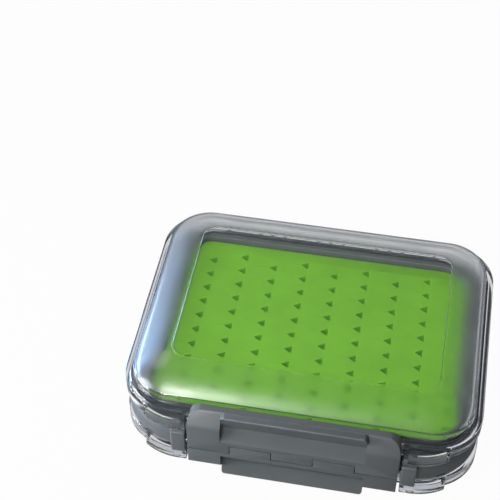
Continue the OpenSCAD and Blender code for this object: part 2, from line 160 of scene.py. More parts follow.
class FrameSizes(PropertyGroup):
    """Sizes of the grey frame, with heights and places as in a lid."""

    shelf_z: mm("Shelf height", "Height of the shelf under the skirt", 5.5)
    wall_z: mm("Wall height", "Height of the sealing wall", 6.9)
    wall_out: mm("Wall place", "How far the sealing wall stands out beyond the rim", 0.3)
    tray_inset: mm("Tray inset", "Inset of the tray from the rim", 5.5)
    web_t: mm("Web", "Thickness of the web between the two trays", 1.6)
    groove_in: mm("Groove inset", "Inset of the gasket's groove from the rim", 0.7)
    groove_w: mm("Groove", "Width of the gasket's groove", 2.4)
    groove_z: mm("Groove height", "Height of the groove's floor", 5.1)
    ridge_in: mm("Ridge inset", "Inset of the ridge from the skirt and lugs", 0.6)
    ridge_z: mm("Ridge", "Half height of the upright ridge", 2.5)
    band_in: mm("Band inset", "How far the band draws in from its ridge to a shelf", 1.2)
    slot_l: mm("Slot", "Width of a moulding slot", 3)
    slot_h: mm("Slot height", "Height of a moulding slot", 1)
    slot_d: mm("Slot depth", "Depth of a moulding slot", 1.4)
    slot_z: mm("Slot place", "Height of a moulding slot's middle", -2.1)
    ear_x: mm("Ear place", "Place of an ear", 38.1)
    ear_w: mm("Ear", "Width of an ear", 5.3)
    ear_z: mm("Ear height", "Half height of an ear", 5.6)
    ear_behind: mm("Ear face", "How far an ear's face lies behind the latch's front", 0.2)
    room_y: mm("Latch room", "Place of the back of the latch's room", -47.1)
    pin_r: mm("Pin bore", "Radius of the bores for the pins", 1.02)


class InsertSizes(PropertyGroup):
    """Sizes of a slit silicone insert."""

    gap: mm("Gap", "Gap round an insert in its tray", 0.2)
    thick: mm("Thickness", "Thickness of an insert", 3.7)
    columns: IntProperty(name="Columns", description="Number of columns of slits", default=9)
    rows: IntProperty(name="Rows", description="Number of slits in a column", default=10)
    column_pitch: mm("Column pitch", "Distance between columns", 12)
    row_pitch: mm("Row pitch", "Distance between slits of a column", 7.07)
    notch_w: mm("Notch base", "Length of a notch's base", 3.2)
    notch_l: mm("Notch length", "Length of a notch from its base to its point", 2.8)
    notch_d: mm("Notch depth", "Depth of a notch at its base", 2.5)
    slit_l: mm("Slit", "Length of the slit from the notch's point", 5)
    slit_w: mm("Slit width", "Width at which a slit lies open", 0.03)
    field_y: mm("Field place", "How far the slits' field lies behind the insert's middle", -0.5)


class LatchSizes(PropertyGroup):
    """Sizes of a latch flap. Heights count from the latch pin."""

    front: mm("Latch front", "Place of the latch's front face", 53.2)
    half_l: mm("Half length", "Half the length of the latch", 37.2)
    barrel_r: mm("Barrel", "Radius of a latch barrel", 2.1)
    knuckle_h: mm("Knuckle", "Half height of a knuckle's flat front", 1.9)
    knuckle_l: mm("Knuckle length", "Length of an inner knuckle", 14.768)
    relief_r: mm("Relief", "Radius of the room round the other flap's knuckles", 3.052)
    plate_t: mm("Plate", "Thickness of a flap's plate", 2.3)
    slope_z: mm("Slope height", "Height at which a flap's front starts to slope back", 10.4)
    top_z: mm("Top", "Height of a flap's top", 15.8)
    slope_y: mm("Slope", "How far the slope leans back", 4.4)
    corner_r: mm("Corner", "Corner radius of a flap's free end", 5)
    hook_y: mm("Hook", "How far the hook reaches behind the pin", 5.1)
    hook_z: mm("Hook height", "Height of the hook's lower face", 12.1)
    pocket_h: mm("Pocket", "Height of a pocket", 2.1)
    pocket_l: mm("Pocket length", "Length of a pocket", 24)
    pocket_x: mm("Pocket place", "Distance of a pocket's middle from the middle of the flap", 18.5)
    pocket_in: mm("Pocket floor", "How far a pocket's floor lies behind the plate's back", 1.3)
    ledge_h: mm("Ledge", "Height of the ledge below the pockets", 2.6)
    grip_w: mm("Grip", "Width of the grip in the middle of a flap", 51)
    grip_z: mm("Grip height", "Height at which the grip starts", 4.5)
    grip_in: mm("Grip inset", "How far the grip lies behind the flap's front", 1.0)
    lip_rise: mm("Lip", "Reach of the lip above the flap's top", 1.4)
    lip_r: mm("Lip corner", "Corner radius of the lip's ends", 1.8)
    lip_t: mm("Lip thickness", "Thickness of the lip at its tip", 2.7)
    scoop_z: mm("Scoop", "Height at which the finger scoop is deepest", 10)
    scoop_d: mm("Scoop depth", "How far the scoop reaches in behind the lip's front", 1.9)
    bore_r: mm("Pin bore", "Radius of the bore for the latch pin", 1.08)
    side_gap: mm("Side gap", "Half the gap between two knuckles", 0.15)
    room_gap: mm("Room", "Gap beside and over the other flap's knuckles", 0.3)
    mark_z: mm("Mark place", "Distance of the inner ejector mark from the pin", 5.5)
    mark_r: mm("Mark", "Radius of the inner ejector mark", 1.4)
    mark_depth: mm("Mark depth", "Depth of the inner ejector mark", 0.15)


class Finishes(PropertyGroup):
    """Colours and gloss of the finishes."""

    grey: tint("Grey", "Colour of the moulded frame and latch", (0.108, 0.117, 0.120))
    green: tint("Green", "Colour of the silicone inserts", (0.222, 0.570, 0.038))
    seal: tint("Seal", "Colour of the gaskets", (0.030, 0.031, 0.033))
    clear: tint("Clear", "Tint of a lid's window", (0.97, 0.98, 0.98))
    clear_border: tint("Clear border", "Tint of the satin border", (0.88, 0.89, 0.90))
    # The wall tint is darker than the window's. Only a faint part of it is the plastic's own tint; the rest is
    # painted shade, standing in for the shadow and dark insides seen through the walls, skirt and lugs.
    clear_wall: tint("Clear wall", "Tint of a lid's wall, skirt and lugs", (0.68, 0.69, 0.73))
    steel: tint("Steel", "Colour of the hinge pins", (0.36, 0.36, 0.37))
    polish: share("Polish", "Roughness of the polished plastic", 0.03)
    satin: share("Satin", "Roughness of the satin border", 0.33)
    edge: mm("Edge", "Radius of the edges of the grey mouldings", 0.3)


class StageSettings(PropertyGroup):
    """Camera, floor and lamps."""

    sensor: FloatProperty(name="Sensor", description="Width of the camera's sensor", default=36, unit="CAMERA")
    lens: FloatProperty(name="Lens", description="Focal length", default=90.38, unit="CAMERA")
    camera: FloatVectorProperty(name="Camera", description="Place of the camera", size=3, subtype="TRANSLATION",
                                unit="LENGTH", default=(0.03101, -0.29333, 0.39560), precision=5)
    ambient: FloatProperty(name="Ambient", description="Strength of the even light all round", default=0.18)
    key: power("Key", "Power of the main lamp on the left", 2.5)
    top: power("Top", "Power of the high lamp behind, on the left", 1.6)
    side: power("Side", "Power of the low cool lamp behind, on the left", 3.0)
    front: power("Front", "Power of the high lamp over the front, which leaves no reflection", 4.2)
    gleam: power("Gleam", "Power of the reflector that only shows in glossy surfaces", 6.4)
    floor_white: share("Floor", "Share of plain white that the floor shows", 0.97)


# ---- Mesh helpers ----


def placed(mesh, name, lower=False):
    """Links a mesh drawn about the middle plane as a new object, turned over for the lower side."""
    if lower:
        mesh.transform(Matrix.Scale(-1, 4, (0, 0, 1)))
        mesh.flip_normals()
    mesh.transform(Matrix.Translation((0, 0, MIDDLE_Z)))
    return linked(mesh, name)


def linked(data, name):
    """Links a mesh, lamp or camera as a new object."""
    obj = bpy.data.objects.new(name, data)
    bpy.context.scene.collection.objects.link(obj)
    return obj


def rounded_ring(half_x, front, back, radii, z, steps=16):
    """Points of a rounded rectangle at height z, counter-clockwise, with radii for its back and its front."""
    points = []
    for corner in range(4):
        radius = radii[corner // 2]
        cx = (half_x - radius) * (1 if corner in (0, 3) else -1)
        cy = back - radius if corner < 2 else front + radius
        for step in range(steps + 1):
            a = math.pi / 2 * (corner + step / steps)
            points.append(Vector((cx + radius * math.cos(a), cy + radius * math.sin(a), z)))
    return points


def rim_ring(s, inset, radius, z):
    """Points of a rounded rectangle that lies an inset inside the rim."""
    half_y = s.rim_w / 2 - inset
    return rounded_ring(s.rim_l / 2 - inset, -half_y, half_y, (radius, radius), z)


def finished(bm, name, materials=()):
    """A mesh of a bmesh's faces. The materials come first, or the faces lose which of them each one has."""
    mesh = bpy.data.meshes.new(name)
    for made in materials:
        mesh.materials.append(made)
    bm.to_mesh(mesh)
    bm.free()
    return mesh


def loft(rings, slots, name, materials):
    """Closed mesh through rings of equally many points; slots has the material of each band between two rings."""
    bm = bmesh.new()
    rows = [[bm.verts.new(p) for p in ring] for ring in rings]
    count = len(rows[0])
    for band, (a, b) in enumerate(zip(rows, rows[1:])):
        for i in range(count):
            j = (i + 1) % count
            face = bm.faces.new((a[i], b[i], b[j], a[j]))
            face.material_index = slots[band]
    bm.faces.new(rows[0])
    bm.faces.new(list(reversed(rows[-1])))
    bmesh.ops.recalc_face_normals(bm, faces=bm.faces)
    return finished(bm, name, materials)


def prism(outline, axis, start, end, name, edge=0.0):
    """Mesh of an outline drawn out along an axis ('x', 'y' or 'z'), with its edges rounded by edge."""
    bm = bmesh.new()

    def point(p, t):
        return {"x": (t, p[0], p[1]), "y": (p[0], t, p[1]), "z": (p[0], p[1], t)}[axis]

    first = [bm.verts.new(point(p, start)) for p in outline]
    last = [bm.verts.new(point(p, end)) for p in outline]
    bm.faces.new(first)
    bm.faces.new(list(reversed(last)))
    count = len(outline)
    for i in range(count):
        j = (i + 1) % count
        bm.faces.new((first[j], first[i], last[i], last[j]))
    bmesh.ops.recalc_face_normals(bm, faces=bm.faces)
    if edge:
        sharp = [e for e in bm.edges if e.calc_face_angle(0) > math.radians(SHARP)]
        bmesh.ops.bevel(bm, geom=sharp, offset=edge, **ROUNDED)
    return finished(bm, name)


def eased(points, radii, steps=6):
    """Outline whose corners are rounded, each by its own radius."""
    outline = []
    count = len(points)
    for i, (p, radius) in enumerate(zip(points, radii)):
        p = Vector(p)
        before, after = Vector(points[i - 1]) - p, Vector(points[(i + 1) % count]) - p
        if not radius:
            outline.append(p)
            continue
        half = before.angle(after) / 2
        most = 0.49 * min(before.length, after.length)  # keeps the roundings of two corners apart
        reach = min(radius / math.tan(half), most)
        radius = reach * math.tan(half)
        middle = p + (before.normalized() + after.normalized()).normalized() * (radius / math.sin(half))
        first = p + before.normalized() * reach - middle
        last = p + after.normalized() * reach - middle
        turn = first.angle_signed(last)
        for step in range(steps + 1):
            arm = first.copy()
            arm.rotate(Matrix.Rotation(-turn * step / steps, 2))
            outline.append(middle + arm)
    return [(p.x, p.y) for p in outline]


def edged(mesh, edge, angle=SHARP, fine_below=None):
    """The same mesh with its sharp edges rounded by edge, and by a third of it below a height."""
    bm = bmesh.new()
    bm.from_mesh(mesh)
    bmesh.ops.remove_doubles(bm, verts=bm.verts, dist=0.001 * MM)
    bmesh.ops.dissolve_limit(bm, angle_limit=math.radians(1), verts=bm.verts, edges=bm.edges)
    for fine in (False, True) if fine_below else (False,):
        sharp = [e for e in bm.edges if e.calc_face_angle(0) > math.radians(angle)
                 and (not fine_below or fine == all(v.co.z < fine_below for v in e.verts))]
        bmesh.ops.bevel(bm, geom=sharp, offset=edge / 3 if fine else edge, clamp_overlap=True, **ROUNDED)
    bm.to_mesh(mesh)
    bm.free()
    return mesh


def span(middle, length):
    """Ends of a length about its middle."""
    return middle - length / 2, middle + length / 2


def circle(cx, cy, radius, steps=32):
    """Points of a circle."""
    return [(cx + radius * math.cos(math.tau * i / steps), cy + radius * math.sin(math.tau * i / steps))
            for i in range(steps)]


def joined(mesh, others, operation, materials=(), slot=0):
    """Mesh after adding the others to it, taking them from it or cutting it to them, each with one material slot."""
    body = linked(mesh, "joining")
    tools = []
    for other in others:
        tool = linked(other, "tool")
        give(tool, *materials)
        for face in other.polygons:
            face.material_index = slot
        tools.append(tool)
        step = body.modifiers.new("step", "BOOLEAN")
        step.operation = operation
        step.solver = "MANIFOLD"
        step.object = tool
    shaped = bpy.data.meshes.new_from_object(body.evaluated_get(bpy.context.evaluated_depsgraph_get()))
    for obj in [body, *tools]:
        bpy.data.objects.remove(obj)
    return shaped


def shade(mesh, angle=CREASE):
    """Smooth shading, with edges over the angle left sharp, and a value of 1 on the narrow faces of rounded edges."""
    narrow = 0.28 * MM
    bm = bmesh.new()
    bm.from_mesh(mesh)
    worn = bm.faces.layers.float.new("rounded_edge")
    for face in bm.faces:
        face.smooth = True
        width = face.calc_area() / max(e.calc_length() for e in face.edges)
        face[worn] = 1 if width < narrow else 0
    for edge in bm.edges:
        edge.smooth = edge.calc_face_angle(math.pi) < math.radians(angle)
    bm.to_mesh(mesh)
    bm.free()


# ---- Finishes ----


def material(name):
    """A new material with its node tree, Principled shader and output."""
    made = bpy.data.materials.new(name)
    made.use_nodes = True
    tree = made.node_tree
    return made, tree, tree.nodes["Principled BSDF"], tree.nodes["Material Output"]


def feed(tree, to, inputs):
    """Sets inputs of a node to values, or links them to the outputs of other nodes."""
    for socket, value in inputs.items():
        if isinstance(value, bpy.types.NodeSocket):
            tree.links.new(value, to.inputs[socket])
        else:
            to.inputs[socket].default_value = value


def node(tree, kind, inputs=None, **settings):
    """A new shader node with its settings and inputs."""
    made = tree.nodes.new("ShaderNode" + kind)
    for name, value in settings.items():
        setattr(made, name, value)
    feed(tree, made, inputs or {})
    return made


def mixed(tree, part, first, second, output):
    """Ends a material in a mix of two shaders, which has this part of the second."""
    mix = node(tree, "MixShader", {0: part.outputs[0], 1: first.outputs[0], 2: second.outputs[0]})
    feed(tree, output, {"Surface": mix.outputs[0]})


def ranged(tree, value, low, high, top=NOISE_HIGH):
    """A noise's value brought to the range from low to high."""
    spread = node(tree, "MapRange", {"From Min": NOISE_LOW, "From Max": top, "To Min": low, "To Max": high,
                                     "Value": value})
    return spread.outputs["Result"]


def number_group(name, control, default, results):
    """A new node group that takes one number, with its input and output nodes."""
    group = bpy.data.node_groups.new(name, "ShaderNodeTree")
    number = group.interface.new_socket(control, in_out="INPUT", socket_type="NodeSocketFloat")
    number.default_value = default
    for result in results:
        group.interface.new_socket(result, in_out="OUTPUT", socket_type="NodeSocketFloat")
    return group, group.nodes.new("NodeGroupInput"), group.nodes.new("NodeGroupOutput")


def grain_group():
    """Node group of a moulded surface: the height of its fine grain, and a broad cloud."""
    group = bpy.data.node_groups.get("moulded_grain")
    if group:
        return group
    group, into, out = number_group("moulded_grain", "Grain size", 3000, ("Height", "Cloud"))
    where = node(group, "TexCoord").outputs["Object"]
    fine = node(group, "TexNoise", {"Detail": 3, "Vector": where, "Scale": into.outputs["Grain size"]})
    broad = node(group, "TexNoise", {"Detail": 4, "Vector": where, "Scale": 90})
    feed(group, out, {"Height": fine.outputs["Fac"], "Cloud": broad.outputs["Fac"]})
    return group


def edge_group():
    """Node group of worn edges: 1 on the rounded edges where handling has rubbed them, broken up by a cloud."""
    group = bpy.data.node_groups.get("worn_edges")
    if group:
        return group
    group, into, out = number_group("worn_edges", "Patch size", 300, ("Wear",))
    where = node(group, "TexCoord").outputs["Object"]
    patches = node(group, "TexNoise", {"Vector": where, "Scale": into.outputs["Patch size"]})
    rounded = node(group, "Attribute", attribute_name="rounded_edge")
    worn = node(group, "Math", {0: ranged(group, patches.outputs["Fac"], 0.25, 1, 0.65), 1: rounded.outputs["Fac"]},
                operation="MULTIPLY")
    feed(group, out, {"Wear": worn.outputs[0]})
    return group


def scaled(colour, factor=1.0):
    """A colour made paler or darker by a factor, as a socket takes it."""
    return (*[min(1, c * factor) for c in colour], 1)


def moulded(name, colour, roughness, grain, depth, spread=0.06, wear=0.0):
    """Material of a moulded solid: faint clouds in its colour, grain in roughness and bump, edges paler by wear."""
    made, tree, shader, _ = material(name)
    group = node(tree, "Group", node_tree=grain_group())
    feed(tree, group, {"Grain size": grain})
    cloud, height = group.outputs["Cloud"], group.outputs["Height"]
    clouded = node(tree, "Mix", {6: scaled(colour, 1 - spread), 7: scaled(colour, 1 + spread),
                                 0: ranged(tree, cloud, 0, 1)}, data_type="RGBA")
    worn = node(tree, "Group", node_tree=edge_group())
    paler = node(tree, "Mix", {7: scaled(colour, 1 + wear), 0: worn.outputs["Wear"], 6: clouded.outputs[2]},
                 data_type="RGBA")
    bump = node(tree, "Bump", {"Strength": 0.35, "Distance": depth, "Height": height})
    feed(tree, shader, {"Base Color": paler.outputs[2], "Normal": bump.outputs["Normal"],
                        "Roughness": ranged(tree, height, roughness - 0.05, roughness + 0.05)})
    return made


def clear_material(name, colour, roughness, through=0.93):
    """Clear plastic that lets a share of lamps and soft light through to what lies behind it."""
    made, tree, shader, output = material(name)
    group = node(tree, "Group", node_tree=grain_group())
    feed(tree, group, {"Grain size": 1200})
    rough = ranged(tree, group.outputs["Cloud"], roughness * (1 - CLEAR_CLOUD), roughness * (1 + CLEAR_CLOUD))
    feed(tree, shader, {"Base Color": scaled(colour), "Transmission Weight": 1, "IOR": 1.5, "Roughness": rough})
    path = node(tree, "LightPath").outputs
    lit = node(tree, "Math", {0: path["Is Shadow Ray"], 1: path["Is Diffuse Ray"]}, operation="MAXIMUM")
    clear = node(tree, "BsdfTransparent", {"Color": (through, through, through, 1)})
    mixed(tree, lit, shader, clear, output)
    return made


def give(obj, *materials):
    """Gives an object these materials in place of its own."""
    obj.data.materials.clear()
    for made in materials:
        obj.data.materials.append(made)


# ---- Lid ----


def crown_rise(part):
    """Share of the crown's rise at a share of the border's width, counted from the rim."""
    return 1 - (1 - part) ** 1.85


def front_outline(s, inset, x0, x1, steps=10):
    """Front outline of the case between two distances from its middle, as x and y."""
    cx = s.rim_l / 2 + s.skirt_out - s.front_r
    front = -s.rim_w / 2 - s.lug_out + inset
    radius = s.front_r - inset
    points = []
    for i in range(steps + 1):
        x = x0 + (x1 - x0) * i / steps
        bend = max(0, x - cx)
        points.append((x, front + radius - math.sqrt(radius ** 2 - bend ** 2)))
    return points


def skirt_y(s, out, x):
    """Front of an outline that lies out beyond the rim, at a distance x from the middle."""
    radius = s.rim_r + out
    bend = max(0, x - (s.rim_l / 2 - s.rim_r))
    return -s.rim_w / 2 + s.rim_r - math.sqrt(radius ** 2 - bend ** 2)


def lid_shell(s, materials):
    """The lid's crown, wall, skirt and sealing tongue as one turned-in section round the case."""
    polished, satin, wall = range(3)
    top, skirt_top = s.rim_z + s.crown_h, s.skirt_z + s.skirt_h
    edge, low = 0.35 * MM, 0.2 * MM  # roundings of the skirt's upper and lower edges
    roof = skirt_top - s.wall
    section = []  # inset from the rim, corner radius, height, material of the band that follows

    def crown(part, slot=polished, inner=0):
        radius = max(s.rim_r + part * (s.window_r - s.rim_r) - inner, MM)
        section.append((part * s.window_inset + inner, radius, s.rim_z - inner + crown_rise(part) * s.crown_h, slot))

    # A low rounded line stands round the window, between its polish and the satin border
    for inward, rise in ((0.9, 0.4), (0.72, 0.42), (0.62, 0.75), (0.5, 0.95), (0.38, 1), (0.26, 0.9),
                         (0.12, 0.55), (0.03, 0.12)):
        section.append((s.window_inset + inward * MM, s.window_r - inward * MM, top + rise * s.window_step, polished))
    for part in (0.995, 0.9, 0.8, 0.7, 0.6, 0.5, 0.42, 0.34, 0.27, 0.2, 0.15, 0.1, 0.06):
        crown(part, satin)
    # The rim is rounded between the crown and the wall
    part = 0.045
    a = Vector((part * s.window_inset, s.rim_z + crown_rise(part) * s.crown_h))
    b, c = Vector((0, s.rim_z + 0.1 * MM)), Vector((0, s.rim_z - 0.5 * MM))
    for t in (0, 0.25, 0.5, 0.75, 1):
        p = a * (1 - t) ** 2 + b * 2 * t * (1 - t) + c * t * t
        section.append((p.x, s.rim_r - p.x * 0.65, p.y, wall))
    # Wall and skirt
    line = [(0, skirt_top + edge), (-0.3 * edge, skirt_top + 0.3 * edge), (-edge, skirt_top)]
    for turn in (0, 30, 60, 90):
        a = math.radians(turn)
        line.append((edge * (1 - math.sin(a)) - s.skirt_out, skirt_top - edge * (1 - math.cos(a))))
    inner = s.skirt_out - s.skirt_t
    line += [(-s.skirt_out, s.skirt_z + low), (low - s.skirt_out, s.skirt_z), (-inner - low, s.skirt_z),
             (-inner, s.skirt_z + low), (-inner, roof - edge), (edge - inner, roof)]
    # Sealing tongue, and the roof inside it
    a, b = s.tongue_in - s.tongue_t / 2, s.tongue_in + s.tongue_t / 2
    inside = roof + 0.5 * MM
    line += [(a, roof), (a, s.tongue_z + low), (a + low, s.tongue_z), (b - low, s.tongue_z),
             (b, s.tongue_z + low), (b, inside), (s.wall, inside)]
    section += [(inset, s.rim_r - inset, z, wall) for inset, z in line]
    section.append((s.wall, s.rim_r - s.wall, s.rim_z - s.wall - 0.6 * MM, polished))
    for part in (0.04, 0.1, 0.2, 0.35, 0.5, 0.65, 0.8, 0.92, 1):
        crown(part, inner=s.wall)
    section.append((s.window_inset + s.wall + 2 * MM, 2.5 * MM, top - s.wall, polished))
    rings = [rim_ring(s, inset, radius, z) for inset, radius, z, _ in section]
    return loft(rings, [slot for *_, slot in section], "lid_shell", materials)


def lid_lug(s, side):
    """One front lug, and the hollow under it with the mark on it."""
    skirt_top = s.skirt_z + s.skirt_h

    def outline(inset, back):
        front = front_outline(s, inset, s.lug_x + inset, s.lug_end_x - inset)
        rear = [(x, skirt_y(s, back, x)) for x, _ in reversed(front)]
        points = [(side * x, y) for x, y in front + rear]
        return points if side > 0 else list(reversed(points))

    block = prism(outline(0, s.skirt_out - s.skirt_t / 2), "z", s.skirt_z, skirt_top, "lug", edge=0.3 * MM)
    hollow = prism(outline(s.skirt_t, 0.4 * MM), "z", s.skirt_z - MM, skirt_top - s.wall, "hollow")
    mark = prism(circle(side * (s.lug_x + s.mark_x), s.mark_y - s.rim_w / 2 - s.lug_out, s.mark_d / 2), "z",
                 skirt_top - s.mark_depth, skirt_top + MM, "mark")
    return block, [hollow, mark]


def knuckle_x(s, i):
    """Middle of a frame knuckle along the hinge."""
    return (i - (s.knuckles - 1) / 2) * s.knuckle_pitch


def lid_knuckle(s, i):
    """Ends of a lid knuckle along the hinge."""
    reach = s.knuckle_l / 2 + s.side_gap
    return max(-s.hinge_l / 2, knuckle_x(s, i - 1) + reach), min(s.hinge_l / 2, knuckle_x(s, i) - reach)


def lid_hinge(s):
    """The lid's knuckles with their gusseted strip, and the room for the frame's knuckles and the pin."""
    back = s.rim_w / 2 + s.skirt_out
    reach = s.barrel_r * 0.7
    inside, edge = 0.05 * MM, 0.15 * MM
    low, high, into = s.skirt_z + inside, s.hinge_z + s.barrel_r - inside, back - s.skirt_t / 2
    strip = [(into, low), (s.hinge_y, low), (s.hinge_y, high), (into, high)]
    low, high, into = s.skirt_z + 2 * edge, s.skirt_z + s.skirt_h - 4 * edge, back - 2 * edge
    fin = [(into, low), (s.hinge_y, low), (s.hinge_y + reach, s.hinge_z + reach), (into, high)]
    solids, hollows = [], []
    for i in range(s.knuckles + 1):
        x0, x1 = lid_knuckle(s, i)
        solids.append(prism(circle(s.hinge_y, s.hinge_z, s.barrel_r), "x", x0, x1, "barrel", BARREL_EDGE))
        solids.append(prism(strip, "x", x0 + 2 * inside, x1 - 2 * inside, "strip"))
        gussets = int((x1 - x0 - s.gusset_t) / s.gusset_pitch)
        for g in range(gussets + 1):
            x = (x0 + x1) / 2 + (g - gussets / 2) * s.gusset_pitch
            solids.append(prism(fin, "x", *span(x, s.gusset_t), "gusset", edge))
    for i in range(s.knuckles):
        hollows.append(prism(circle(s.hinge_y, s.hinge_z, s.barrel_r + s.barrel_gap), "x",
                             *span(knuckle_x(s, i), s.knuckle_l + 2 * s.side_gap), "gap"))
    hollows.append(prism(circle(s.hinge_y, s.hinge_z, s.pin_bore_r, 24), "x",
                         -s.hinge_l / 2 - MM, s.hinge_l / 2 + MM, "bore"))
    return solids, hollows


def lid_mesh(s, materials):
    """One clear lid, drawn for the upper side."""
    solids, hollows = lid_hinge(s)
    top, front = s.skirt_z + s.skirt_h, -s.rim_w / 2 - s.skirt_out
    into, out, high, low = front + s.skirt_t / 2, front - s.bead_out, top - 0.05 * MM, top - s.bead_h
    lugs, rooms, beads = [], [], []
    for side in (-1, 1):
        lug, room = lid_lug(s, side)
        lugs.append(lug)
        rooms += room
        beads.append(prism([(into, high), (out, high), (out, low), (into, low)], "x",
                           *span(side * s.bead_x, s.bead_l), "bead", edge=0.25 * MM))
    mesh = joined(lid_shell(s, materials), [*lugs, *beads, *solids], "UNION", materials, 2)
    mesh = joined(mesh, [*rooms, *hollows], "DIFFERENCE", materials, 2)
    shade(mesh)
    return mesh


# ---- Frame ----


def case_ring(s, inset, z):
    """Points round the case below the rim at height z, with its fuller front corners."""
    return rounded_ring(s.rim_l / 2 + s.skirt_out - inset, -s.rim_w / 2 - s.lug_out + inset,
                        s.rim_w / 2 + s.skirt_out - inset, (s.rim_r + s.skirt_out - inset, s.front_r - inset), z)


def frame_body(s, f, edge):
    """The frame's web, sealing walls and band as one section round the case."""

    def half(sign):
        fillet, far, low = 0.5 * MM, f.groove_in + f.groove_w, f.ridge_in + f.band_in
        # From the web up the tray's wall, through the gasket's groove and down to the shelf
        rings = [rim_ring(s, inset, s.rim_r - inset, z) for inset, z in (
            (f.tray_inset + fillet, f.web_t / 2), (f.tray_inset, f.web_t / 2 + fillet),
            (f.tray_inset, f.wall_z - edge), (f.tray_inset - edge * 0.3, f.wall_z - edge * 0.3),
            (f.tray_inset - edge, f.wall_z), (far + edge, f.wall_z), (far + edge * 0.3, f.wall_z - edge * 0.3),
            (far, f.wall_z - edge), (far, f.groove_z), (f.groove_in, f.groove_z),
            (f.groove_in, f.wall_z - edge / 2), (f.groove_in - edge / 2, f.wall_z), (edge - f.wall_out, f.wall_z),
            (edge * 0.3 - f.wall_out, f.wall_z - edge * 0.3), (-f.wall_out, f.wall_z - edge),
            (-f.wall_out, f.shelf_z))]
        # Shelf, its round edge, the drawn-in part and the ridge
        rings += [case_ring(s, inset, z) for inset, z in (
            (low + edge, f.shelf_z), (low + edge * 0.35, f.shelf_z - edge * 0.25),
            (low - 0.12 * MM, f.shelf_z - edge), (f.ridge_in + 0.15 * MM, f.ridge_z + 0.4 * MM),
            (f.ridge_in + 0.04 * MM, f.ridge_z + 0.12 * MM), (f.ridge_in, f.ridge_z - 0.25 * MM))]
        return [[Vector((p.x, p.y, sign * p.z)) for p in ring] for ring in rings]

    rings = half(1) + list(reversed(half(-1)))
    return loft(rings, [0] * len(rings), "frame_body", ())


def frame_mesh(s, f, latch, edge):
    """The whole frame, with its ears, hinge knuckles, moulding slots and bores."""
    hollows = [prism([(-f.ear_x, -s.rim_w), (f.ear_x, -s.rim_w), (f.ear_x, f.room_y), (-f.ear_x, f.room_y)], "z",
                     -2 * f.wall_z, 2 * f.wall_z, "room")]
    reach, into = s.barrel_r * math.sqrt(0.5), s.hinge_y - s.barrel_r - MM
    solids, bores = [], []
    for side in (-1, 1):
        for i in range(s.knuckles + 1):
            x0, x1 = lid_knuckle(s, i)
            hollows.append(prism(circle(s.hinge_y, side * s.hinge_z, s.barrel_r + s.barrel_gap), "x",
                                 x0 - s.side_gap, x1 + s.side_gap, "gap"))
        for i in range(s.knuckles):
            x0, x1 = span(knuckle_x(s, i), s.knuckle_l)
            solids.append(prism(circle(s.hinge_y, side * s.hinge_z, s.barrel_r), "x", x0, x1, "barrel", BARREL_EDGE))
            foot = [(into, 0), (s.hinge_y - s.barrel_r * 0.4, 0),
                    (s.hinge_y + reach * 0.97, side * (s.hinge_z - reach)), (s.hinge_y, side * s.hinge_z),
                    (into, side * s.hinge_z)]
            solids.append(prism(foot, "x", x0 + BARREL_EDGE, x1 - BARREL_EDGE, "foot"))
        bores.append(prism(circle(s.hinge_y, side * s.hinge_z, f.pin_r, 24), "x", -s.hinge_l / 2, s.hinge_l / 2,
                           "bore"))
    face, behind = f.ear_behind - latch.front, MM - s.rim_w / 2 - s.skirt_out
    slot_x = s.lug_end_x - f.slot_l * 2 / 3
    bend = slot_x - (s.rim_l / 2 + s.skirt_out - s.front_r)
    slot_y = s.front_r - s.rim_w / 2 - s.lug_out - math.sqrt((s.front_r - f.ridge_in) ** 2 - bend ** 2)
    slots = []
    for side in (-1, 1):
        x0, x1 = side * f.ear_x, side * (f.ear_x + f.ear_w)
        outline = eased([(x0, face), (x1, face), (x1, behind), (x0, behind)], (2 * edge, 2 * edge, 0, 0))
        solids.append(prism(outline, "z", -f.ear_z, f.ear_z, "ear", edge))
        x0, x1 = span(side * slot_x, f.slot_l)
        y0, y1 = slot_y - 2 * f.slot_d, slot_y + f.slot_d
        slots.append(prism([(x0, y0), (x1, y0), (x1, y1), (x0, y1)], "z", *span(f.slot_z, f.slot_h), "slot"))
    end = f.ear_x + f.ear_w - MM
    bores.append(prism(circle(latch.barrel_r - latch.front, 0, f.pin_r, 24), "x", -end, end, "bore"))
    mesh = joined(frame_body(s, f, edge), hollows, "DIFFERENCE")
    mesh = joined(mesh, solids, "UNION")
    mesh = joined(mesh, bores + slots, "DIFFERENCE")
    shade(mesh)
    return mesh


# ---- Latch ----


